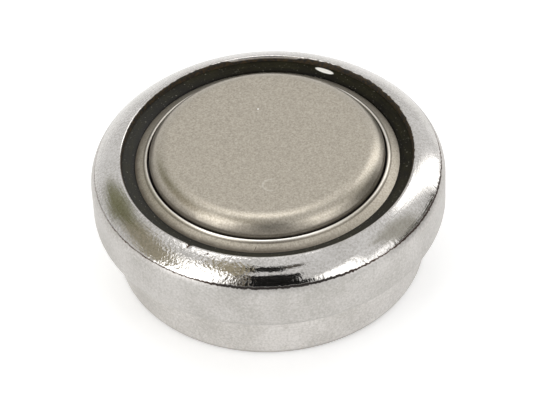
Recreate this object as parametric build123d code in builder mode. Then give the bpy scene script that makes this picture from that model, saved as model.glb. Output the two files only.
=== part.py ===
from build123d import *
import os
from math import acos, asin, atan2, cos, degrees, hypot, radians, tan

os.makedirs("parts", exist_ok=True)

# Overall sizes, in millimetres: the origin is the middle of the base, and +Z is up
cell_d = 15.6
cell_h = 6.2

# Can: one drawn sheet, with a narrow lower body, a wide band and a rolled shoulder
can_wall = 0.28
step_w = 0.8
body_draft = 0.15
step_h = 2.6
base_round = 0.35
neck_round = 0.2
band_round = 0.42
button_rise = 0.54
shoulder_w = 1.157
shoulder_h = 0.75
band_ease = 0.48
crimp_draw = 0.19
crimp_mark = 0.035
rim_round = 0.1

# Cap: one drawn sheet, with a raised button, a crevice round it, a lip, a sloping face and a shoulder
cap_wall = 0.25
button_setback = 2.63
button_round = 1.0
button_slope = radians(50)
button_drop = 0.56
edge_round = 0.3
crevice_w = 0.084
crevice_d = 0.44
crevice_round = 0.03
lip_drop = 0.09
lip_round = 0.06
lip_slope = radians(43.3)
lip_w = 0.186
face_slope = radians(28)
face_w = 0.41
face_bend = 0.15
cap_slope = radians(50)
cap_bend = 0.4
hem_h = 0.75
hem_slit = 0.05

# Gasket: a moulded grommet between the can and the cap, cupped under the cap's folded edge
grommet_wall = 0.6
foot_t = 0.4
foot_lap = 0.45
lip_reach = 0.566
lip_t = 0.05
lip_run = 0.05
gasket_bulge = 0.03

# What the can holds: a ring round the pellet, then the two separator layers
ring_t = 0.2
ring_lap = 0.43
barrier_t = 0.1
absorber_t = 0.35
pellet_play = 0.08

# Clearance between curved faces that fit into each other
fit = 0.01

# Radii and levels that the pieces share
cell_r = cell_d / 2
neck_r = cell_r - step_w
base_r = neck_r - body_draft
bore_r = cell_r - can_wall
rim_z = cell_h - button_rise
crimp_r = cell_r - crimp_draw
crimp_z = rim_z - shoulder_h
rim_r = crimp_r - shoulder_w
band_top = crimp_z - band_ease
ledge_z = step_h + can_wall
foot_z = ledge_z + foot_t
button_r = cell_r - button_setback
edge_z = cell_h - button_drop
lip_r = button_r + crevice_w
lip_z = rim_z - lip_drop
crevice_z = lip_z - crevice_d
face_r = lip_r + lip_w
face_z = lip_z - lip_w * tan(lip_slope)
bend_r = face_r + face_w
bend_z = face_z - face_w * tan(face_slope)
hem_r = bore_r - grommet_wall - 2 * fit
cap_r = hem_r - cap_wall - hem_slit
fold_r = cap_wall + hem_slit / 2
hem_z = foot_z + hem_h
foot_r = cap_r - cap_wall - foot_lap
draft = atan2(body_draft, step_h)

# The band eases inwards on one arc, and the rolled shoulder carries on from it on another
ease_radius = hypot(crimp_draw, band_ease) ** 2 / (2 * crimp_draw)
ease_centre = (cell_r - ease_radius, band_top)
crimp_angle = asin(band_ease / ease_radius)
shoulder_radius = hypot(shoulder_w, shoulder_h) ** 2 / (
    2 * (shoulder_w * cos(crimp_angle) - shoulder_h * band_ease / ease_radius)
)
shoulder_centre = (
    crimp_r - shoulder_radius * cos(crimp_angle),
    crimp_z - shoulder_radius * band_ease / ease_radius,
)
rim_angle = acos((rim_r - shoulder_centre[0]) / shoulder_radius)


def can_profile(inset):
    """Draws the can's profile from the axis to the rolled edge, this far inside its outer surface."""

    def body_wall(z):
        return base_r + z * tan(draft) - inset / cos(draft)

    FilletPolyline(
        (0, inset),
        (body_wall(inset), inset),
        (body_wall(step_h + inset), step_h + inset),
        (cell_r - inset, step_h + inset),
        (cell_r - inset, band_top),
        radius=(base_round - inset, neck_round + inset, band_round - inset),
    )
    CenterArc(ease_centre, ease_radius - inset, 0, degrees(crimp_angle))
    return CenterArc(
        shoulder_centre,
        shoulder_radius - inset,
        degrees(crimp_angle),
        degrees(rim_angle - crimp_angle),
    )


def cap_face(r, outset):
    """Height of the cap's sloping face at a radius, this far outside its outer surface."""
    return bend_z + outset / cos(face_slope) + (bend_r - r) * tan(face_slope)


def cap_cone(r, outset):
    """Height of the cap's steeper shoulder at a radius, this far outside its outer surface."""
    return bend_z + outset / cos(cap_slope) - (r - bend_r) * tan(cap_slope)


def face_edge(outset):
    """The corner where the face meets the shoulder, this far outside the outer surface."""
    widening = (1 / cos(cap_slope) - 1 / cos(face_slope)) / (tan(cap_slope) - tan(face_slope))
    r = bend_r + outset * widening
    return (r, cap_face(r, outset))


def button_edge(outset):
    """Top and bottom corners of the button's sloping edge, this far outside its outer surface."""
    r = button_r + outset
    z = edge_z + outset / cos(button_slope) - outset * tan(button_slope)
    return (r - (cell_h + outset - z) / tan(button_slope), cell_h + outset), (r, z)


def cap_inside(inset):
    """Draws the cap's hollow from its ceiling down to the fold, this far inside the sheet."""
    ceiling = crevice_z - cap_wall - inset
    wall = cap_r - cap_wall - inset
    depth = -cap_wall - inset
    turn = lip_r + (cap_cone(lip_r, depth) - ceiling) / tan(cap_slope)
    return FilletPolyline(
        (0, cell_h + depth),
        *button_edge(depth),
        (button_r + depth, ceiling),
        (turn, ceiling),
        (wall, cap_cone(wall, depth)),
        (wall, foot_z + fold_r),
        radius=(button_round + depth, edge_round + depth, cap_wall, cap_wall, cap_bend + depth),
    )


# Positive can, deep-drawn from nickel-plated steel sheet and rolled over at the top
with BuildPart() as positive_can:
    with BuildSketch(Plane.XZ):
        with BuildLine():
            outside = can_profile(0)
            inside = can_profile(can_wall)
            Line(outside @ 1, inside @ 1)
            Line((0, 0), (0, can_wall))
        make_face()
    revolve(axis=Axis.Z)
    fillet(positive_can.edges().group_by(Axis.Z)[-1], rim_round)
    with BuildSketch(Plane.XZ):
        with Locations((crimp_r, crimp_z)):
            Circle(crimp_mark)
    revolve(axis=Axis.Z, mode=Mode.SUBTRACT)
positive_can.part.label = "positive_can"
export_step(positive_can.part, "parts/positive_can.step")

# Negative cap, drawn from clad steel sheet, its edge folded outwards and back up
with BuildPart() as negative_cap:
    with BuildSketch(Plane.XZ):
        with BuildLine():
            top = FilletPolyline(
                (0, cell_h),
                *button_edge(0),
                (button_r, crevice_z),
                (lip_r, crevice_z),
                (lip_r, lip_z),
                (face_r, face_z),
                face_edge(0),
                (cap_r, cap_cone(cap_r, 0)),
                (cap_r, foot_z + fold_r),
                radius=(
                    button_round,
                    edge_round,
                    crevice_round,
                    crevice_round,
                    lip_round,
                    lip_round,
                    face_bend,
                    cap_bend,
                ),
            )
            CenterArc((cap_r + hem_slit / 2, foot_z + fold_r), hem_slit / 2, 180, 180)
            Polyline(
                (cap_r + hem_slit, foot_z + fold_r),
                (cap_r + hem_slit, hem_z),
                (hem_r, hem_z),
                (hem_r, foot_z + fold_r),
            )
            CenterArc((cap_r + hem_slit / 2, foot_z + fold_r), fold_r, 180, 180)
            hollow = cap_inside(0)
            Line(top @ 0, hollow @ 0)
        make_face()
    revolve(axis=Axis.Z)
negative_cap.part.label = "negative_cap"
export_step(negative_cap.part, "parts/negative_cap.step")

# Sealing gasket, black nylon: it fills the space between can and cap, and shows as a ring
with BuildPart() as sealing_gasket:
    show_r = lip_r + lip_reach - fit
    show_z = cap_face(show_r, fit)
    with BuildSketch(Plane.XZ):
        with BuildLine():
            squeezed = can_profile(can_wall + fit)
            Polyline((0, can_wall + fit), (0, (squeezed @ 1).Y), squeezed @ 1)
        make_face()
        # Below the foot and inside its ring
        with Locations((0, ledge_z)):
            Rectangle(2 * cell_r, 2 * ledge_z, align=(Align.CENTER, Align.MAX), mode=Mode.SUBTRACT)
            Rectangle(2 * foot_r, foot_t, align=(Align.CENTER, Align.MIN), mode=Mode.SUBTRACT)
        # The room of the cap's shoulder and wall
        with BuildLine():
            FilletPolyline(
                (cap_r + fit, foot_z + fold_r),
                (cap_r + fit, cap_cone(cap_r + fit, fit)),
                face_edge(fit),
                (show_r, show_z),
                radius=(cap_bend, fit),
            )
            Polyline(
                (show_r, show_z),
                (0, show_z),
                (0, foot_z + fold_r),
                (cap_r + fit, foot_z + fold_r),
            )
        make_face(mode=Mode.SUBTRACT)
        # The room of its folded edge, which may stand higher than the shoulder's bend
        with BuildLine():
            FilletPolyline(
                (0, foot_z),
                (hem_r + fit, foot_z),
                (hem_r + fit, hem_z + fit),
                (0, hem_z + fit),
                radius=(fold_r, 0),
            )
            Line((0, hem_z + fit), (0, foot_z))
        make_face(mode=Mode.SUBTRACT)
        # The open air above the ring that shows
        with BuildLine():
            step = Line((show_r, show_z), (show_r + lip_run, show_z + lip_t))
            SagittaArc(step @ 1, squeezed @ 1, gasket_bulge)
            Polyline(squeezed @ 1, ((squeezed @ 1).X, cell_h), (0, cell_h), (0, show_z), (show_r, show_z))
        make_face(mode=Mode.SUBTRACT)
    revolve(axis=Axis.Z)
sealing_gasket.part.label = "sealing_gasket"
export_step(sealing_gasket.part, "parts/sealing_gasket.step")

# Cathode ring, nickel-plated steel: a sleeve round the pellet with a flange turned in over it
barrier_z = ledge_z - absorber_t - barrier_t
ring_r = base_r - can_wall - pellet_play
ring_in = ring_r - ring_t - ring_lap
with BuildPart() as cathode_ring:
    with BuildSketch(Plane.XZ):
        with BuildLine():
            Polyline(
                (ring_r, can_wall),
                (ring_r, barrier_z),
                (ring_in, barrier_z),
                (ring_in, barrier_z - ring_t),
                (ring_r - ring_t, barrier_z - ring_t),
                (ring_r - ring_t, can_wall),
                close=True,
            )
        make_face()
    revolve(axis=Axis.Z)
cathode_ring.part.label = "cathode_ring"
export_step(cathode_ring.part, "parts/cathode_ring.step")

# Cathode pellet, pressed silver oxide: it fills the ring and stands level with its flange
with BuildPart() as cathode_pellet:
    with BuildSketch(Plane.XY.offset(can_wall)):
        Circle(ring_r - ring_t - fit)
    extrude(amount=barrier_z - ring_t - can_wall)
    with BuildSketch(Plane.XY.offset(barrier_z - ring_t)):
        Circle(ring_in - fit)
    extrude(amount=ring_t)
cathode_pellet.part.label = "cathode_pellet"
export_step(cathode_pellet.part, "parts/cathode_pellet.step")

# Barrier membrane, a thin film over the ring and the pellet
with BuildPart() as barrier_membrane:
    with BuildSketch(Plane.XY.offset(barrier_z)):
        Circle(ring_r)
    extrude(amount=barrier_t)
barrier_membrane.part.label = "barrier_membrane"
export_step(barrier_membrane.part, "parts/barrier_membrane.step")

# Absorbent separator, a non-woven disc whose edge the gasket's foot presses down
with BuildPart() as absorbent_separator:
    with BuildSketch(Plane.XY.offset(barrier_z + barrier_t)):
        Circle(ring_r)
    extrude(amount=absorber_t)
absorbent_separator.part.label = "absorbent_separator"
export_step(absorbent_separator.part, "parts/absorbent_separator.step")

# Zinc anode, a gel of zinc powder that fills the cap down to the separator
with BuildPart() as zinc_anode:
    with BuildSketch(Plane.XZ):
        with BuildLine():
            gel = cap_inside(fit)
            Polyline(
                gel @ 1,
                (cap_r - cap_wall - fit, foot_z),
                (foot_r - fit, foot_z),
                (foot_r - fit, ledge_z),
                (0, ledge_z),
                gel @ 0,
            )
        make_face()
    revolve(axis=Axis.Z)
zinc_anode.part.label = "zinc_anode"
export_step(zinc_anode.part, "parts/zinc_anode.step")
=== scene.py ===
from math import atan2, ceil, cos, hypot, pi, radians, sin, tan

import bmesh
import bpy
from mathutils import Matrix, Vector


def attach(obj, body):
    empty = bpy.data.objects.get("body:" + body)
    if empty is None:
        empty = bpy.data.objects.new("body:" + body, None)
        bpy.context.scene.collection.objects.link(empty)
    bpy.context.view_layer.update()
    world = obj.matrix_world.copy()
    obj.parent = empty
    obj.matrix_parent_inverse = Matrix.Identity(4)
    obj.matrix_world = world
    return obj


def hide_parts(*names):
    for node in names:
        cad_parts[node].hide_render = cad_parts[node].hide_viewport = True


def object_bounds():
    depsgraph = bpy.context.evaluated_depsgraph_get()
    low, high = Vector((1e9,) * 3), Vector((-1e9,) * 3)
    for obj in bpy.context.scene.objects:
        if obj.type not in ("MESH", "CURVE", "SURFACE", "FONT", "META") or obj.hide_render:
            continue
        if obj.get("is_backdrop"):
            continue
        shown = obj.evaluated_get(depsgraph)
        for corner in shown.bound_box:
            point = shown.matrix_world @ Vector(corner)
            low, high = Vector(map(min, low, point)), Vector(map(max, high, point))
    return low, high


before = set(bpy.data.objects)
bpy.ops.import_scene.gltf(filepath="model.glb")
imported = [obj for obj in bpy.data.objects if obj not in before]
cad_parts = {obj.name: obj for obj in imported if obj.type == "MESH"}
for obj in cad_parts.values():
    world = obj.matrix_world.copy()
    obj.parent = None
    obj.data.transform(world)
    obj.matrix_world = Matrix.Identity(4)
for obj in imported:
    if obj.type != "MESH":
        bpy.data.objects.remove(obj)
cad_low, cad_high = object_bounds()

# Positive can
# One deep-drawn sheet of nickel-plated steel, which holds the rest and is the positive contact.
# Its top edge is rolled in over the gasket: the die burnishes that shoulder, and the walls stay matt.

MM = 0.001


def linear(hex_colour):
    """Turns an sRGB hex colour to linear, with an alpha of 1."""
    shares = [int(hex_colour[i:i + 2], 16) / 255 for i in (1, 3, 5)]
    return [s / 12.92 if s <= 0.04045 else ((s + 0.055) / 1.055) ** 2.4 for s in shares] + [1]


def add(tree, kind, inputs=None, **settings):
    """Adds a node, sets its settings, and sets or links its inputs."""
    made = tree.nodes.new(kind)
    for key, value in settings.items():
        setattr(made, key, value)
    for key, value in (inputs or {}).items():
        if isinstance(value, bpy.types.NodeSocket):
            tree.links.new(value, made.inputs[key])
        else:
            made.inputs[key].default_value = value
    return made


def turned(name, outline, slices=384, work=None):
    """Turns an outline, in millimetres, on the cell's axis.

    Each entry is ("to", radius, height, rounding of that corner)
    or ("round", radius and height of an arc's centre, degrees turned to the left).
    """
    bm = bmesh.new()
    tip = bm.verts.new((outline[0][1], 0, outline[0][2]))

    def straight(point):
        nonlocal tip
        way = point - tip.co
        if way.length < 1e-5:
            return
        # Short runs at both ends keep the smooth shading of an arc off the flat beside it
        stops = [0.03, way.length - 0.03, way.length] if way.length > 0.15 else [way.length]
        start = tip.co.copy()
        for stop in stops:
            tip = bmesh.ops.extrude_vert_indiv(bm, verts=[tip])["verts"][0]
            tip.co = start + way.normalized() * stop

    def arc(centre, turn):
        nonlocal tip
        reach = (tip.co - centre).length
        steps = max(3, ceil(abs(turn) * reach / 0.035))
        last = bmesh.ops.spin(
            bm, geom=[tip], cent=centre, axis=(0, 1, 0), angle=-turn, steps=steps, use_merge=False
        )["geom_last"]
        tip = [v for v in last if isinstance(v, bmesh.types.BMVert)][0]

    for here, after in zip(outline[1:], outline[2:] + [None]):
        if here[0] == "round":
            arc(Vector((here[1], 0, here[2])), radians(here[3]))
            continue
        corner = Vector((here[1], 0, here[2]))
        if here[3] == 0:
            straight(corner)
            continue
        way_in = (corner - tip.co).normalized()
        way_out = (Vector((after[1], 0, after[2])) - corner).normalized()
        left = Vector((-way_in.z, 0, way_in.x))
        turn = atan2(left.dot(way_out), way_in.dot(way_out))
        straight(corner - way_in * here[3] * tan(abs(turn) / 2))
        arc(tip.co + left * (here[3] if turn > 0 else -here[3]), turn)

    bmesh.ops.spin(
        bm, geom=bm.verts[:] + bm.edges[:], cent=(0, 0, 0), axis=(0, 0, 1),
        angle=2 * pi, steps=slices, use_merge=True,
    )
    bmesh.ops.remove_doubles(bm, verts=bm.verts, dist=1e-4)
    bmesh.ops.recalc_face_normals(bm, faces=bm.faces)
    if work:
        work(bm)
    bmesh.ops.scale(bm, vec=(MM, MM, MM), verts=bm.verts)
    mesh = bpy.data.meshes.new(name)
    bm.to_mesh(mesh)
    bm.free()
    mesh.shade_smooth()
    mesh.set_sharp_from_angle(angle=radians(38))
    piece = bpy.data.objects.new(name, mesh)
    bpy.context.scene.collection.objects.link(piece)
    return piece


# Radii and heights in millimetres: the overall ones are the frame's, and the rest repeat the CAD's can
cell_r = round(cad_high[0] / MM, 3)
cell_h = round(cad_high[2] / MM, 3)
can_wall = 0.28
base_r = 6.85
neck_r = 7.0
step_z = 2.6
band_top = 4.43
bore_r = cell_r - can_wall
ledge_z = step_z + can_wall
body_slope = (neck_r - base_r) / step_z
# Middles of the arcs on which the band eases in and the edge is rolled over, and how far their insides turn
ease_centre = (7.0987, band_top)
ease_inside = 43.19
roll_centre = (5.5113, 2.9398)
roll_inside = 27.71


def body_inside(z):
    """Inner radius of the narrow body, which widens upwards."""
    return base_r + z * body_slope - can_wall * hypot(1, body_slope)


can_outline = [
    ("to", 0, 0, 0),
    ("to", base_r, 0, 0.35),
    ("to", neck_r, step_z, 0.2),
    ("to", cell_r, step_z, 0.42),
    ("to", cell_r, band_top, 0),
    ("round", *ease_centre, 41.6),
    # The narrow groove that the die left where it stopped
    ("to", 7.597, 4.888, 0),
    ("to", 7.6028, 4.9177, 0),
    ("round", *roll_centre, 25.49),
    # The cut edge
    ("to", 6.453, 5.66, 0.1),
    ("to", 6.361, 5.395, 0),
    ("round", *roll_centre, -roll_inside),
    ("round", *ease_centre, -ease_inside),
    ("to", bore_r, ledge_z, 0.14),
    ("to", body_inside(ledge_z), ledge_z, 0),
    ("to", body_inside(can_wall), can_wall, 0.07),
    ("to", 0, can_wall, 0),
]
notch_bearing = radians(-122.8)
notch_r = 6.44
notch_half_long = 0.26
notch_half_wide = 0.13
notch_deep = 0.11
rolled_from = 5.3


def notch(bm):
    """Presses in the notch that the rolled edge has at the front left."""
    out = Vector((cos(notch_bearing), sin(notch_bearing), 0))
    for v in bm.verts:
        along = (v.co.dot(out) - notch_r) / notch_half_long
        across = v.co.xy.cross(out.xy) / notch_half_wide
        if along ** 2 + across ** 2 < 1 and v.co.z > rolled_from:
            v.co.z -= notch_deep * (1 - along ** 2 - across ** 2)


can = turned("can_shell", can_outline, work=notch)


def cell_places(tree):
    """Gives the place in mm, its height, its distance from the axis and the way out from the axis."""
    mm = add(tree, "ShaderNodeMapping", {
        "Vector": add(tree, "ShaderNodeTexCoord").outputs["Object"], "Scale": (1 / MM, 1 / MM, 1 / MM),
    }).outputs[0]
    height = add(tree, "ShaderNodeSeparateXYZ", {0: mm}).outputs["Z"]
    flat = add(tree, "ShaderNodeVectorMath", {0: mm, 1: (1, 1, 0)}, operation="MULTIPLY").outputs[0]
    radius = add(tree, "ShaderNodeVectorMath", {0: flat}, operation="LENGTH").outputs["Value"]
    around = add(tree, "ShaderNodeVectorMath", {0: flat}, operation="NORMALIZE").outputs[0]
    return mm, height, radius, around


def drawn_round(tree, around, run, scale, detail, roughness=0.5):
    """Noise that is drawn out round the cell: run is what changes across it, and is last in the scale."""
    at = add(tree, "ShaderNodeVectorMath", {
        0: around, 1: add(tree, "ShaderNodeCombineXYZ", {"Z": run}).outputs[0],
    }, operation="ADD").outputs[0]
    return add(tree, "ShaderNodeTexNoise", {
        "Vector": add(tree, "ShaderNodeMapping", {"Vector": at, "Scale": scale}).outputs[0],
        "Scale": 1, "Detail": detail, "Roughness": roughness,
    }).outputs[0]


def off(tree, value, line):
    """How far a value is from a line, on either side of it."""
    past = add(tree, "ShaderNodeMath", {0: value, 1: line}, operation="SUBTRACT").outputs[0]
    return add(tree, "ShaderNodeMath", {0: past}, operation="ABSOLUTE").outputs[0]


def mark(tree, at, centre, half, turn, edge=0.3):
    """Marks an oval patch, 1 inside and 0 outside: its middle and half sizes in mm, turned by degrees."""
    inside = add(tree, "ShaderNodeMapping", {
        "Vector": at, "Location": centre, "Rotation": (0, 0, radians(turn)), "Scale": half,
    }, vector_type="TEXTURE").outputs[0]
    ball = add(tree, "ShaderNodeTexGradient", {"Vector": inside}, gradient_type="SPHERICAL").outputs[1]
    return add(tree, "ShaderNodeMapRange", {"Value": ball, "From Min": 0.02, "From Max": edge}).outputs[0]


def set_stops(ramp, stops):
    """Places a ramp's stops, each of them a position and a colour."""
    for i, (position, colour) in enumerate(stops):
        stop = ramp.color_ramp.elements[i] if i < 2 else ramp.color_ramp.elements.new(position)
        stop.position = position
        stop.color = colour


def share_of_turn(tree, around):
    """Gives the share of a turn from -X: 0.25 is the front, 0.5 is +X and 0.75 is the back."""
    way = add(tree, "ShaderNodeSeparateXYZ", {0: around}).outputs
    angle = add(tree, "ShaderNodeMath", {0: way["Y"], 1: way["X"]}, operation="ARCTAN2").outputs[0]
    return add(tree, "ShaderNodeMath", {
        0: angle, 1: 1 / (2 * pi), 2: 0.5,
    }, operation="MULTIPLY_ADD").outputs[0]


def by_bearing(tree, bearing, stops):
    """Gives a grey that changes round the cell: pairs of azimuth in degrees, with 0 at +X, and grey."""
    ramp = add(tree, "ShaderNodeValToRGB", {0: bearing})
    set_stops(ramp, [((azimuth + 180) / 360, (grey, grey, grey, 1)) for azimuth, grey in stops])
    return ramp.outputs[0]


# Nickel plate on drawn steel: warm pale metal, mirror-like where the die rubbed it and blasted matt below
plate = bpy.data.materials.new("nickel_plate_on_drawn_steel")
plate.use_nodes = True
t = plate.node_tree
metal = t.nodes["Principled BSDF"]
mm, height, radius, around = cell_places(t)
bearing = share_of_turn(t, around)
# The height less the radius runs down the shoulder, so noise that is short along it draws the die's streaks
down = add(t, "ShaderNodeMath", {0: height, 1: radius}, operation="SUBTRACT").outputs[0]
# Streaks about 0.06 mm apart that run on for 4 mm and more
streaks = drawn_round(t, around, down, (1.8, 1.8, 16), 3, 0.6)
# Wrinkles across the die's line, 0.15 mm apart round the cell, where the sheet was forced to a smaller ring
wrinkles = drawn_round(t, around, down, (50, 50, 1.5), 1)
# Blasted grain of 0.1 mm, dents of 0.12 mm where cells rubbed on each other, and patches of 2 mm
grain = add(t, "ShaderNodeTexNoise", {"Vector": mm, "Scale": 10, "Detail": 3, "Roughness": 0.65}).outputs[0]
dents = add(t, "ShaderNodeTexNoise", {"Vector": mm, "Scale": 8, "Detail": 2, "Roughness": 0.5}).outputs[0]
patches = add(t, "ShaderNodeTexNoise", {"Vector": mm, "Scale": 0.5, "Detail": 2}).outputs[0]
# The burnished part starts at the die's line, whose edge the grain and the wrinkles make ragged
# Its level is the groove's height, 4.905 mm, and the mean of that noise
die_line = 4.985
ragged = add(t, "ShaderNodeMath", {0: grain, 1: 0.08, 2: height}, operation="MULTIPLY_ADD").outputs[0]
ragged = add(t, "ShaderNodeMath", {0: wrinkles, 1: 0.08, 2: ragged}, operation="MULTIPLY_ADD").outputs[0]
burnished = add(t, "ShaderNodeMapRange", {
    "Value": ragged, "From Min": die_line - 0.025, "From Max": die_line - 0.005,
}).outputs[0]
rough_walls = add(t, "ShaderNodeMapRange", {
    "Value": grain, "From Min": 0.3, "From Max": 0.7, "To Min": 0.38, "To Max": 0.5,
}).outputs[0]
# The die's polish: clearest at the front, with deeper streaks at both sides
drag = by_bearing(t, bearing, [
    (-180, 1), (-140, 0.8), (-118, 0.1), (-72, 0.05), (-50, 0.5), (-20, 0.9), (10, 0.6), (60, 0.8),
    (179, 1),
])
# Most dents are at the front left, which rubbed on other cells
rubbed = by_bearing(t, bearing, [
    (-180, 0.05), (-150, 0.15), (-138, 0.8), (-122, 1), (-104, 0.9), (-94, 0.2), (-66, 0.15), (-56, 0.35),
    (-36, 0.1), (179, 0.05),
])
rough_shoulder = add(t, "ShaderNodeMath", {
    0: drag, 1: 0.1, 2: add(t, "ShaderNodeMapRange", {
        "Value": streaks, "From Min": 0.3, "From Max": 0.7, "To Min": 0.03, "To Max": 0.11,
    }).outputs[0],
}, operation="MULTIPLY_ADD").outputs[0]
roughness = add(t, "ShaderNodeMix", {0: burnished, 2: rough_walls, 3: rough_shoulder}, data_type="FLOAT")
# Old grease and dirt in the die's line, with painted shade of its groove: thick at the front and the right
# front, and thin at the left
crease_darkness = by_bearing(t, bearing, [
    (-180, 0.1), (-160, 0.05), (-146, 0.3), (-134, 0.25), (-118, 0.3), (-106, 1), (-70, 1), (-60, 0.6),
    (-50, 0.3), (-42, 0.8), (-12, 0.8), (4, 0.4), (16, 0.1), (179, 0.05),
])
reached = add(t, "ShaderNodeMath", {0: crease_darkness, 1: 0.042}, operation="MULTIPLY").outputs[0]
thin = add(t, "ShaderNodeMath", {0: off(t, ragged, die_line), 1: reached}, operation="SUBTRACT").outputs[0]
crease = add(t, "ShaderNodeMapRange", {"Value": thin, "From Min": 0.014, "From Max": -0.008}).outputs[0]
outer = add(t, "ShaderNodeMath", {0: radius, 1: 7.4}, operation="GREATER_THAN").outputs[0]
dirt_and_shade = add(t, "ShaderNodeMath", {0: crease, 1: outer}, operation="MULTIPLY").outputs[0]
# The cut edge is painted black-brown up to a ragged line, torn every 0.2 mm at the back and right
nibbles = add(t, "ShaderNodeTexNoise", {
    "Vector": add(t, "ShaderNodeMapping", {"Vector": mm, "Scale": (4.5, 4.5, 0.5)}).outputs[0],
    "Scale": 1, "Detail": 1, "Roughness": 0.6,
}).outputs[0]
reach = by_bearing(t, bearing, [
    (-180, 0.12), (-130, 0.05), (-60, 0.05), (-20, 0.15), (10, 0.45), (40, 0.5), (72, 0.5), (76, 0),
    (102, 0), (106, 0.5), (135, 0.3), (179, 0.12),
])
tear = add(t, "ShaderNodeMath", {0: nibbles, 1: reach}, operation="MULTIPLY").outputs[0]
tear = add(t, "ShaderNodeMath", {0: tear, 1: -0.28, 2: radius}, operation="MULTIPLY_ADD").outputs[0]
edge_blackening = add(t, "ShaderNodeMapRange", {"Value": tear, "From Min": 6.42, "From Max": 6.4}).outputs[0]
high = add(t, "ShaderNodeMath", {0: height, 1: 5}, operation="GREATER_THAN").outputs[0]
edge_blackening = add(t, "ShaderNodeMath", {0: edge_blackening, 1: high}, operation="MULTIPLY").outputs[0]
dirt_and_shade = add(t, "ShaderNodeMath", {0: dirt_and_shade, 1: edge_blackening}, operation="MAXIMUM").outputs[0]
# The notch of the rolled edge is painted dark as painted shade, and so is a pit beside it
for middle, half, turn in [
    ((-3.5, -5.43, 5.55), (0.26, 0.055, 0.3), -122.8),
    ((-2.736, -6.055, 5.584), (0.06, 0.045, 0.2), 20),
]:
    spot = mark(t, mm, middle, half, turn)
    dirt_and_shade = add(t, "ShaderNodeMath", {0: dirt_and_shade, 1: spot}, operation="MAXIMUM").outputs[0]
# The rounding of the base is painted a darker brown-grey towards the bottom
ragged_base_height = add(t, "ShaderNodeMath", {0: grain, 1: -0.35, 2: height}, operation="MULTIPLY_ADD").outputs[0]
foot = add(t, "ShaderNodeMapRange", {
    "Value": ragged_base_height, "From Min": 0.14, "From Max": -0.08, "To Min": 0, "To Max": 0.75,
}).outputs[0]
speckle = add(t, "ShaderNodeValToRGB", {0: add(t, "ShaderNodeMix", {
    0: 0.35, 2: grain, 3: patches,
}, data_type="FLOAT").outputs[0]})
set_stops(speckle, [(0.38, linear("#ABA8A3")), (0.62, linear("#CAC7C4"))])
# The narrow body is painted brighter than the band: painted light
body_painted_light = add(t, "ShaderNodeMapRange", {
    "Value": height, "From Min": 2.75, "From Max": 2.45, "To Min": 1, "To Max": 1.17,
}).outputs[0]
speckle = add(t, "ShaderNodeVectorMath", {
    0: speckle.outputs[0], "Scale": body_painted_light,
}, operation="SCALE").outputs[0]
plate_with_painted_light = add(t, "ShaderNodeMix", {0: foot, 6: speckle, 7: linear("#6E665A")}, data_type="RGBA").outputs[2]
# The cut edge is painted black-brown with gold-brown places, and the die's line, dirt with painted shade, is
# brown where there is little of it
gold = add(t, "ShaderNodeMapRange", {"Value": dents, "From Min": 0.42, "From Max": 0.62}).outputs[0]
skin = add(t, "ShaderNodeMix", {
    0: gold, 6: linear("#15120B"), 7: linear("#3A2A0C"),
}, data_type="RGBA").outputs[2]
crease_colour = add(t, "ShaderNodeMix", {
    0: crease_darkness, 6: linear("#5A3A28"), 7: linear("#1C130C"),
}, data_type="RGBA").outputs[2]
darkened_colour = add(t, "ShaderNodeMix", {0: edge_blackening, 6: crease_colour, 7: skin}, data_type="RGBA").outputs[2]
colour = add(t, "ShaderNodeMix", {0: dirt_and_shade, 6: plate_with_painted_light, 7: darkened_colour}, data_type="RGBA").outputs[2]
clean = add(t, "ShaderNodeMath", {0: 1.0, 1: dirt_and_shade}, operation="SUBTRACT").outputs[0]
dull = add(t, "ShaderNodeMix", {0: dirt_and_shade, 2: roughness.outputs[0], 3: 0.6}, data_type="FLOAT").outputs[0]
t.links.new(colour, metal.inputs["Base Color"])
t.links.new(clean, metal.inputs["Metallic"])
t.links.new(dull, metal.inputs["Roughness"])
dented = add(t, "ShaderNodeMath", {0: dents, 1: rubbed}, operation="MULTIPLY").outputs[0]
low_shoulder = add(t, "ShaderNodeMapRange", {"Value": height, "From Min": 5.2, "From Max": 5.0}).outputs[0]
wrinkled = add(t, "ShaderNodeMath", {0: wrinkles, 1: low_shoulder}, operation="MULTIPLY").outputs[0]
blasted = add(t, "ShaderNodeMapRange", {"Value": burnished, "To Min": 0.5, "To Max": 0.06}).outputs[0]
grain_bump = add(t, "ShaderNodeBump", {
    "Strength": blasted, "Distance": 0.000006, "Height": grain,
}).outputs[0]
dragged = add(t, "ShaderNodeMath", {0: burnished, 1: drag}, operation="MULTIPLY").outputs[0]
streak_bump = add(t, "ShaderNodeBump", {
    "Strength": dragged, "Distance": 0.000006, "Height": streaks, "Normal": grain_bump,
}).outputs[0]
wrinkle_bump = add(t, "ShaderNodeBump", {
    "Strength": burnished, "Distance": 0.00001, "Height": wrinkled, "Normal": streak_bump,
}).outputs[0]
dent_bump = add(t, "ShaderNodeBump", {
    "Strength": burnished, "Distance": 0.000014, "Height": dented, "Normal": wrinkle_bump,
}).outputs[0]
t.links.new(dent_bump, metal.inputs["Normal"])
can.data.materials.append(plate)
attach(can, "root")
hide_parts("positive_can")

# Sealing gasket
# A moulded nylon grommet, squeezed between the can and the cap when the can's edge is rolled in.
# Only a ring of it shows, black with a brown-green cast, in the trough between the two metals.
fit = 0.01
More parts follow.
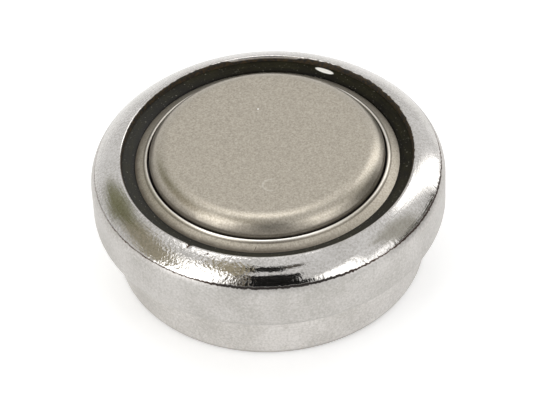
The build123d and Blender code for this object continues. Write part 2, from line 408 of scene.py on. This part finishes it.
# What the gasket leaves free: the cap's wall and its folded edge, which stands on the gasket's foot
cap_r = 6.6
hem_r = 6.9
hem_top = 4.03
fold_r = 0.275
foot_z = ledge_z + 0.4
foot_in = 5.9
gasket_outline = [
    ("to", 6.2, ledge_z, 0),
    ("to", bore_r - fit, ledge_z, 0.13),
    ("to", bore_r - fit, band_top, 0),
    ("round", *ease_centre, ease_inside),
    ("round", *roll_centre, roll_inside),
    # The lip that shows, and its thin tip on the cap's face
    ("to", 6.09, 5.335, 0.5),
    ("to", 5.86, 5.26, 0.02),
    ("to", 5.81, 5.21, 0),
    ("to", 5.856, 5.185, 0),
    ("to", cap_r + fit, 4.2868, 0.4),
    ("to", cap_r + fit, hem_top + fit, 0),
    ("to", hem_r + fit, hem_top + fit, 0),
    ("to", hem_r + fit, foot_z, fold_r),
    ("to", foot_in, foot_z, 0),
    ("to", foot_in, ledge_z, 0),
    ("to", 6.2, ledge_z, 0),
]
gasket = turned("gasket_ring", gasket_outline)

# Nylon 66, injection moulded: black, half-gloss, with a skin that the squeeze has made uneven
nylon = bpy.data.materials.new("moulded_black_nylon_66")
nylon.use_nodes = True
t = nylon.node_tree
plastic = t.nodes["Principled BSDF"]
plastic.inputs["IOR"].default_value = 1.53
mm, height, radius, around = cell_places(t)
# Mottling of 0.7 mm, fine lines along the trough 0.08 mm apart, and a skin grain of 0.08 mm
mottle = add(t, "ShaderNodeTexNoise", {
    "Vector": mm, "Scale": 1.4, "Detail": 3, "Roughness": 0.6,
}).outputs[0]
lines = drawn_round(t, around, radius, (5, 5, 12), 3, 0.7)
mottle = add(t, "ShaderNodeMix", {0: 0.5, 2: mottle, 3: lines}, data_type="FLOAT").outputs[0]
skin = add(t, "ShaderNodeTexNoise", {"Vector": mm, "Scale": 12, "Detail": 2}).outputs[0]
tint = add(t, "ShaderNodeValToRGB", {0: mottle})
set_stops(tint, [(0.35, linear("#0D0A05")), (0.65, linear("#272516"))])
# Dust dulls the skin, so it gives back less than clean nylon
left_front = (-0.7, -0.71, 0)
side = add(t, "ShaderNodeVectorMath", {0: around, 1: left_front}, operation="DOT_PRODUCT").outputs["Value"]
clear = add(t, "ShaderNodeMapRange", {
    "Value": side, "From Min": -0.6, "From Max": 0.4, "To Min": 0.06, "To Max": 0.26,
}).outputs[0]
t.links.new(clear, plastic.inputs["Specular IOR Level"])
# The deep side of the trough, next to the cap, is painted darker: painted shade
deep_painted_shade = add(t, "ShaderNodeMapRange", {
    "Value": radius, "From Min": 6.05, "From Max": 5.85, "To Min": 0, "To Max": 0.75,
}).outputs[0]
tint = add(t, "ShaderNodeMix", {0: deep_painted_shade, 6: tint.outputs[0], 7: linear("#070503")}, data_type="RGBA")
# Specks of dust about 0.1 mm across
dust = add(t, "ShaderNodeMapRange", {"Value": skin, "From Min": 0.66, "From Max": 0.76}).outputs[0]
dusty = add(t, "ShaderNodeMix", {
    0: dust, 6: tint.outputs[2], 7: linear("#77756A"),
}, data_type="RGBA").outputs[2]
# A pale patch in the trough at the back: a painted highlight
painted_glint = mark(t, mm, (2.79, 5.53, 5.32), (0.5, 0.12, 0.3), -30, edge=0.15)
colour = add(t, "ShaderNodeMix", {0: painted_glint, 6: dusty, 7: linear("#F2F0EA")}, data_type="RGBA").outputs[2]
rough = add(t, "ShaderNodeMapRange", {
    "Value": mottle, "From Min": 0.3, "From Max": 0.7, "To Min": 0.38, "To Max": 0.6,
}).outputs[0]
t.links.new(colour, plastic.inputs["Base Color"])
t.links.new(rough, plastic.inputs["Roughness"])
t.links.new(add(t, "ShaderNodeBump", {
    "Strength": 0.8, "Distance": 0.000012, "Height": skin,
}).outputs[0], plastic.inputs["Normal"])
gasket.data.materials.append(nylon)
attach(gasket, "root")
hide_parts("sealing_gasket")

# Negative cap
# One pressed sheet of nickel-clad stainless steel: a raised button, a crevice, a lip and a sloping ring.
# Its edge is folded back on itself and sits in the gasket, which is squeezed on to it.
cap_wall = 0.25
button_r = 5.17
crevice_z = 5.13
lip_in = 5.254
fold_z = foot_z + fold_r
fold_centre = (cap_r + fold_r - cap_wall, fold_z)
cap_outline = [
    ("to", 0, cell_h, 0),
    ("to", 4.7, cell_h, 1.0),
    ("to", button_r, 5.64, 0.3),
    ("to", button_r, crevice_z, 0.03),
    ("to", lip_in, crevice_z, 0.03),
    ("to", lip_in, 5.57, 0.06),
    ("to", 5.44, 5.395, 0.06),
    ("to", 5.85, 5.177, 0.15),
    ("to", cap_r, 4.2832, 0.4),
    # The edge, folded outwards and back up
    ("to", cap_r, fold_z, 0),
    ("round", *fold_centre, 180),
    ("to", hem_r - cap_wall, hem_top, 0),
    ("to", hem_r, hem_top, 0),
    ("to", hem_r, fold_z, 0),
    ("round", *fold_centre, -180),
    # The inner side
    ("to", cap_r - cap_wall, 4.1922, 0.15),
    ("to", 5.7729, crevice_z - cap_wall, 0.25),
    ("to", button_r - cap_wall, crevice_z - cap_wall, 0.25),
    ("to", button_r - cap_wall, 5.549, 0.05),
    ("to", 4.5835, cell_h - cap_wall, 0.75),
    ("to", 0, cell_h - cap_wall, 0),
]
cap = turned("cap_shell", cap_outline)

# Nickel-clad stainless, pressed: a warm satin grey, a little smoother on the bends that the punch rubbed
clad = bpy.data.materials.new("nickel_clad_pressed_stainless")
clad.use_nodes = True
t = clad.node_tree
metal = t.nodes["Principled BSDF"]
mm, height, radius, around = cell_places(t)
# Grain of 0.08 mm, a mottle of 0.5 mm, and the press's rings about 0.08 mm apart
grain = add(t, "ShaderNodeTexNoise", {"Vector": mm, "Scale": 12, "Detail": 3, "Roughness": 0.7}).outputs[0]
mottle = add(t, "ShaderNodeTexNoise", {"Vector": mm, "Scale": 2, "Detail": 3, "Roughness": 0.6}).outputs[0]
rings = drawn_round(t, around, radius, (2.2, 2.2, 12), 3, 0.6)
satin = add(t, "ShaderNodeValToRGB", {0: grain})
set_stops(satin, [(0.3, linear("#938C80")), (0.7, linear("#B9B2A5"))])
# Fine dark specks, 0.07 mm across
specks = add(t, "ShaderNodeTexNoise", {"Vector": mm, "Scale": 14, "Detail": 1}).outputs[0]
specks = add(t, "ShaderNodeMapRange", {
    "Value": specks, "From Min": 0.66, "From Max": 0.74, "To Min": 0, "To Max": 0.5,
}).outputs[0]
speckled = add(t, "ShaderNodeMix", {
    0: specks, 6: satin.outputs[0], 7: linear("#7D7568"),
}, data_type="RGBA").outputs[2]
# A near-white painted highlight on the lip's crest, strongest at the left front
lip_highlight_share = by_bearing(t, share_of_turn(t, around), [
    (-180, 0.3), (-150, 0.7), (-120, 1), (-75, 0.9), (-50, 0.35), (60, 0.5), (179, 0.3),
])
lip_highlight = add(t, "ShaderNodeMapRange", {
    "Value": off(t, radius, 5.31), "From Min": 0.08, "From Max": 0.05,
}).outputs[0]
lip_highlight = add(t, "ShaderNodeMath", {0: lip_highlight, 1: lip_highlight_share}, operation="MULTIPLY").outputs[0]
speckled = add(t, "ShaderNodeMix", {
    0: lip_highlight, 6: speckled, 7: linear("#FAF7F0"),
}, data_type="RGBA").outputs[2]
# Black-brown dirt packed in the crevice round the button, with painted shade of the crevice
in_crevice = add(t, "ShaderNodeMapRange", {"Value": height, "From Min": 5.5, "From Max": 5.42}).outputs[0]
inside_lip = add(t, "ShaderNodeMath", {0: radius, 1: 5.265}, operation="LESS_THAN").outputs[0]
dirt_and_shade = add(t, "ShaderNodeMath", {0: in_crevice, 1: inside_lip}, operation="MULTIPLY").outputs[0]
# A brown line in the corner under the lip, which is painted shade, and dark brown painted on the ring's outer
# side at the left and the front
corner = add(t, "ShaderNodeMapRange", {
    "Value": off(t, radius, 5.43), "From Min": 0.045, "From Max": 0.01, "To Min": 0, "To Max": 0.55,
}).outputs[0]
side = add(t, "ShaderNodeVectorMath", {0: around, 1: left_front}, operation="DOT_PRODUCT").outputs["Value"]
side = add(t, "ShaderNodeMapRange", {"Value": side, "From Min": -0.1, "From Max": 0.7}).outputs[0]
ring_edge_ramp = add(t, "ShaderNodeMapRange", {
    "Value": add(t, "ShaderNodeMath", {0: mottle, 1: 0.2, 2: radius}, operation="MULTIPLY_ADD").outputs[0],
    "From Min": 5.68, "From Max": 5.86, "To Min": 0, "To Max": 0.85,
}).outputs[0]
ring_edge_dark = add(t, "ShaderNodeMath", {0: side, 1: ring_edge_ramp}, operation="MULTIPLY").outputs[0]
stain_and_shade = add(t, "ShaderNodeMath", {0: ring_edge_dark, 1: corner}, operation="MAXIMUM").outputs[0]
stain_and_shade = add(t, "ShaderNodeMath", {
    0: stain_and_shade, 1: mark(t, mm, (-0.717, -5.596, 5.29), (0.12, 0.02, 0.3), 58),
}, operation="MAXIMUM").outputs[0]
# The button's edge is painted a darker brown low down, towards the crevice, at the left and the left front
dark_edge_top = add(t, "ShaderNodeMath", {0: mottle, 1: -0.25, 2: height}, operation="MULTIPLY_ADD").outputs[0]
low_edge = add(t, "ShaderNodeMapRange", {
    "Value": dark_edge_top, "From Min": 5.78, "From Max": 5.55, "To Min": 0, "To Max": 0.5,
}).outputs[0]
low_edge = add(t, "ShaderNodeMath", {0: low_edge, 1: side}, operation="MULTIPLY").outputs[0]
low_edge = add(t, "ShaderNodeMath", {0: low_edge, 1: inside_lip}, operation="MULTIPLY").outputs[0]
stain_and_shade = add(t, "ShaderNodeMath", {0: stain_and_shade, 1: low_edge}, operation="MAXIMUM").outputs[0]
stained_and_shaded = add(t, "ShaderNodeMix", {
    0: stain_and_shade, 6: speckled, 7: linear("#4A3F30"),
}, data_type="RGBA").outputs[2]
# A pale scuff on the button, an arc of 0.36 mm radius that is open to the right
scuff_centre = (0.098, -2.676, cell_h)
scuff_r = 0.36
from_scuff = add(t, "ShaderNodeVectorMath", {0: mm, 1: scuff_centre}, operation="SUBTRACT").outputs[0]
scuff_off = add(t, "ShaderNodeVectorMath", {0: from_scuff}, operation="LENGTH").outputs["Value"]
scuff = add(t, "ShaderNodeMapRange", {
    "Value": off(t, scuff_off, scuff_r), "From Min": 0.06, "From Max": 0, "To Min": 0, "To Max": 0.25,
}).outputs[0]
open_side = add(t, "ShaderNodeMapRange", {
    "Value": add(t, "ShaderNodeSeparateXYZ", {0: from_scuff}).outputs["X"],
    "From Min": 0.2, "From Max": 0.0,
}).outputs[0]
scuff = add(t, "ShaderNodeMath", {0: scuff, 1: open_side}, operation="MULTIPLY").outputs[0]
stained_and_shaded = add(t, "ShaderNodeMix", {0: scuff, 6: stained_and_shaded, 7: linear("#E4E0D8")}, data_type="RGBA").outputs[2]
# A white fleck on the button
fleck = mark(t, mm, (-0.29, 2.25, cell_h), (0.045, 0.035, 0.1), 0)
flecked = add(t, "ShaderNodeMix", {0: fleck, 6: stained_and_shaded, 7: linear("#FFFFFF")}, data_type="RGBA").outputs[2]
colour = add(t, "ShaderNodeMix", {0: dirt_and_shade, 6: flecked, 7: linear("#1C110A")}, data_type="RGBA").outputs[2]
covered = add(t, "ShaderNodeMath", {0: dirt_and_shade, 1: stain_and_shade}, operation="MAXIMUM").outputs[0]
covered = add(t, "ShaderNodeMath", {0: covered, 1: fleck}, operation="MAXIMUM").outputs[0]
clean = add(t, "ShaderNodeMath", {0: 1.0, 1: covered}, operation="SUBTRACT").outputs[0]
# Satin on the flat, smoother on the button's edge, smoothest on the lip, and satin again on the ring
gloss_to = 8
gloss = add(t, "ShaderNodeValToRGB", {
    0: add(t, "ShaderNodeMath", {0: radius, 1: gloss_to}, operation="DIVIDE").outputs[0],
})
set_stops(gloss, [(r / gloss_to, (share, share, share, 1)) for r, share in [
    (4.3, 0.4), (4.6, 0.3), (5.2, 0.3), (5.27, 0.26), (5.4, 0.3), (5.48, 0.42),
]])
rough = add(t, "ShaderNodeMath", {
    0: mottle, 1: 0.06, 2: gloss.outputs[0],
}, operation="MULTIPLY_ADD").outputs[0]
t.links.new(colour, metal.inputs["Base Color"])
t.links.new(clean, metal.inputs["Metallic"])
t.links.new(rough, metal.inputs["Roughness"])
on_ring = add(t, "ShaderNodeMath", {0: radius, 1: 5.2}, operation="GREATER_THAN").outputs[0]
ring_bump = add(t, "ShaderNodeBump", {
    "Strength": on_ring, "Distance": 0.000005, "Height": rings,
}).outputs[0]
t.links.new(add(t, "ShaderNodeBump", {
    "Strength": 0.6, "Distance": 0.000006, "Height": grain, "Normal": ring_bump,
}).outputs[0], metal.inputs["Normal"])
cap.data.materials.append(clad)
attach(cap, "root")
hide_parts("negative_cap")

# What the can holds
# A gel of zinc powder under the cap, a fleece disc that holds the electrolyte, and a barrier film.
# Below them lies a pressed silver oxide pellet in its steel ring. All of it is sealed in and unseen.


def inner_finish(node, name, dark, pale, spacing, roughness, metallic, depth):
    """Gives a sealed piece its own grain: spacing and depth of the grain in millimetres."""
    finish = bpy.data.materials.new(name)
    finish.use_nodes = True
    tree = finish.node_tree
    shader = tree.nodes["Principled BSDF"]
    shader.inputs["Roughness"].default_value = roughness
    shader.inputs["Metallic"].default_value = metallic
    at = add(tree, "ShaderNodeMapping", {
        "Vector": add(tree, "ShaderNodeTexCoord").outputs["Object"],
        "Scale": [1000 / s for s in spacing],
    }).outputs[0]
    pattern = add(tree, "ShaderNodeTexNoise", {"Vector": at, "Scale": 1, "Detail": 4}).outputs[0]
    ramp = add(tree, "ShaderNodeValToRGB", {0: pattern})
    set_stops(ramp, [(0.35, linear(dark)), (0.65, linear(pale))])
    tree.links.new(ramp.outputs[0], shader.inputs["Base Color"])
    tree.links.new(add(tree, "ShaderNodeBump", {
        "Distance": depth * MM, "Height": pattern,
    }).outputs[0], shader.inputs["Normal"])
    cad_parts[node].data.materials.clear()
    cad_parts[node].data.materials.append(finish)


# Zinc grit in a clear gel: grey, wet and lumpy
inner_finish("zinc_anode", "gelled_zinc_powder", "#55585C", "#8A8D90", (0.15, 0.15, 0.15), 0.3, 0.5, 0.02)
# Non-woven cotton fleece: off-white, with fibres that lie flat
inner_finish(
    "absorbent_separator", "non_woven_cotton_fleece", "#D2CFC2", "#EEECE3", (0.3, 0.05, 0.3), 0.95, 0, 0.03,
)
# Cellophane-type film, cast: a smooth pale amber sheet
inner_finish("barrier_membrane", "cast_cellophane_film", "#B9A77E", "#CDBD97", (2, 2, 2), 0.2, 0, 0.001)
# Nickel-plated steel strip, pressed to a ring
inner_finish(
    "cathode_ring", "pressed_plated_strip_steel", "#A5A39E", "#C0BEB9", (0.08, 0.08, 0.6), 0.35, 1, 0.002,
)
# Silver oxide powder with graphite, pressed: near black, dull, faintly sparkling
inner_finish(
    "cathode_pellet", "pressed_silver_oxide_powder", "#141314", "#2A282A", (0.06, 0.06, 0.06), 0.75, 0, 0.005,
)

# Studio
# A pale floor and a pale sky all round, with soft lamps at the left, at the right, behind and above.
# Matt cards stand where the polished shoulder shows something darker than the sky.


def toward(azimuth, elevation, reach):
    """A place seen from the cell at an azimuth, with 0 at +X and 90 at +Y, and an elevation, in degrees."""
    a, e = radians(azimuth), radians(elevation)
    return Vector((cos(a) * cos(e), sin(a) * cos(e), sin(e))) * reach


def facing(place):
    """Turns -Z, the way a lamp shines, to the cell."""
    return place.to_track_quat("Z", "Y").to_matrix().to_4x4()


def lamp(name, azimuth, elevation, wide, high, level, reach=0.45):
    """A softbox that takes up wide by high degrees from the cell; white of level 1 is as bright as paper."""
    data = bpy.data.lights.new(name, "AREA")
    data.shape = "RECTANGLE"
    data.size = 2 * reach * tan(radians(wide / 2))
    data.size_y = 2 * reach * tan(radians(high / 2))
    data.energy = level * pi * data.size * data.size_y
    box = bpy.data.objects.new(name, data)
    place = toward(azimuth, elevation, reach)
    box.matrix_world = Matrix.Translation(place) @ facing(place)
    box.visible_camera = False
    bpy.context.scene.collection.objects.link(box)


def card(name, azimuth, elevation, wide, high, colour, reach=0.4):
    """A matt card that takes up wide by high degrees from the cell, and that the camera sees past."""
    bm = bmesh.new()
    bmesh.ops.create_grid(bm, x_segments=1, y_segments=1, size=1)
    size = (reach * tan(radians(wide / 2)), reach * tan(radians(high / 2)), 1)
    bmesh.ops.scale(bm, vec=size, verts=bm.verts)
    place = toward(azimuth, elevation, reach)
    bmesh.ops.transform(bm, matrix=Matrix.Translation(place) @ facing(place), verts=bm.verts)
    mesh = bpy.data.meshes.new(name)
    bm.to_mesh(mesh)
    bm.free()
    paint = bpy.data.materials.new(name + "_paint")
    paint.use_nodes = True
    paint.node_tree.nodes["Principled BSDF"].inputs["Base Color"].default_value = linear(colour)
    paint.node_tree.nodes["Principled BSDF"].inputs["Roughness"].default_value = 1
    mesh.materials.append(paint)
    board = bpy.data.objects.new(name, mesh)
    board.visible_camera = False
    bpy.context.scene.collection.objects.link(board)
    board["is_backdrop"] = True


lamp("window_left", -147, 37, 28, 41, 2.3)
lamp("window_right", -43, 38, 21, 27, 1.7)
lamp("window_right_low", -18, 35, 16, 8, 1.1)
lamp("window_right_back", 37, 27, 14, 46, 2.2)
lamp("window_left_back", 150, 70, 18, 14, 1.3)
lamp("lamp_overhead", 90, 76, 24, 20, 2.2)
card("card_at_camera", -88, 40.5, 33, 22, "#0A0908")
card("card_at_camera_high", -89.5, 56, 23, 12, "#0A0908")
card("card_over_camera", -96, 72, 13, 9, "#0F0D0A")
card("card_over_camera_right", -64, 72.5, 7, 5, "#4A4236")
card("card_left_of_camera", -115, 48, 5, 22, "#8A7E68")
card("card_left_high", -134, 67, 17, 18, "#D2C8AE")
card("card_left_side", -182, 40, 35, 24, "#C9C1AA")
card("card_left_back", 148, 31, 21, 26, "#9A9A78")
card("card_right", 3, 38, 18, 28, "#DAD8D0")
card("card_right_low", -2, 14, 20, 26, "#3A3826")
card("card_right_lower", 17, 8, 18, 22, "#3A3826")


def seen_directly(tree):
    """1 for rays from the camera and rays that metal or glass sends on, and 0 for diffuse light."""
    rays = add(tree, "ShaderNodeLightPath")
    seen = add(tree, "ShaderNodeMath", {
        0: rays.outputs["Is Camera Ray"], 1: rays.outputs["Is Glossy Ray"],
    }, operation="MAXIMUM").outputs[0]
    return add(tree, "ShaderNodeMath", {
        0: seen, 1: rays.outputs["Is Transmission Ray"],
    }, operation="MAXIMUM").outputs[0]


# The sky looks white, and lights the cell a little less than white would
sky_light = 0.75
world = bpy.data.worlds.new("studio_sky")
bpy.context.scene.world = world
world.use_nodes = True
t = world.node_tree
level = add(t, "ShaderNodeMapRange", {
    "Value": seen_directly(t), "To Min": sky_light, "To Max": 1.0,
}).outputs[0]
t.links.new(level, t.nodes["Background"].inputs["Strength"])
t.nodes["Background"].inputs["Color"].default_value = (1, 1, 1, 1)

# A round sheet of white board: it is white where nothing shades it, and it keeps the cell's soft shadow
floor_glow = 0.42
bm = bmesh.new()
bmesh.ops.create_circle(bm, cap_ends=True, segments=96, radius=0.6)
mesh = bpy.data.meshes.new("floor_board")
bm.to_mesh(mesh)
bm.free()
board = bpy.data.materials.new("white_card_board")
board.use_nodes = True
t = board.node_tree
paper = t.nodes["Principled BSDF"]
paper.inputs["Base Color"].default_value = linear("#E6E6E6")
paper.inputs["Roughness"].default_value = 1
paper.inputs["Specular IOR Level"].default_value = 0
glow = add(t, "ShaderNodeMath", {0: seen_directly(t), 1: floor_glow}, operation="MULTIPLY").outputs[0]
glow = add(t, "ShaderNodeEmission", {"Strength": glow}).outputs[0]
both = add(t, "ShaderNodeAddShader", {0: paper.outputs[0], 1: glow}).outputs[0]
t.links.new(both, t.nodes["Material Output"].inputs["Surface"])
mesh.materials.append(board)
floor = bpy.data.objects.new("floor_board", mesh)
bpy.context.scene.collection.objects.link(floor)
floor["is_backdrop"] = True

# Camera
# A long lens 130 mm away, 43.6 degrees above the table and turned 3 degrees, as in the photograph.
# Its lens is for a picture 540 pixels wide, and the small shift puts the cell where the picture has it.
picture_wide = 540
picture_high = 405
cell_across = 269.32
cell_down = 196.12
focal_pixels = 2930.7
target = Vector((0, 0, 3)) * MM
distance = 130 * MM
camera_up = 0.7604
camera_turn = 0.0541
forward = Vector((0, cos(camera_up), -sin(camera_up)))
level_right = Vector((1, 0, 0))
level_up = Vector((0, sin(camera_up), cos(camera_up)))
right = level_right * cos(camera_turn) - level_up * sin(camera_turn)
up = level_right * sin(camera_turn) + level_up * cos(camera_turn)
lens = bpy.data.cameras.new("camera")
lens.sensor_width = 36
lens.lens = focal_pixels / picture_wide * lens.sensor_width
lens.shift_x = (picture_wide / 2 - cell_across) / picture_wide
lens.shift_y = (cell_down - picture_high / 2) / picture_wide
lens.clip_start = 0.01
lens.clip_end = 10
camera = bpy.data.objects.new("camera", lens)
camera.matrix_world = Matrix.Translation(target - forward * distance) @ Matrix(
    (right, up, -forward)
).transposed().to_4x4()
bpy.context.scene.collection.objects.link(camera)
bpy.context.scene.camera = camera
bpy.context.scene.view_settings.view_transform = "Standard"

low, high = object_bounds()
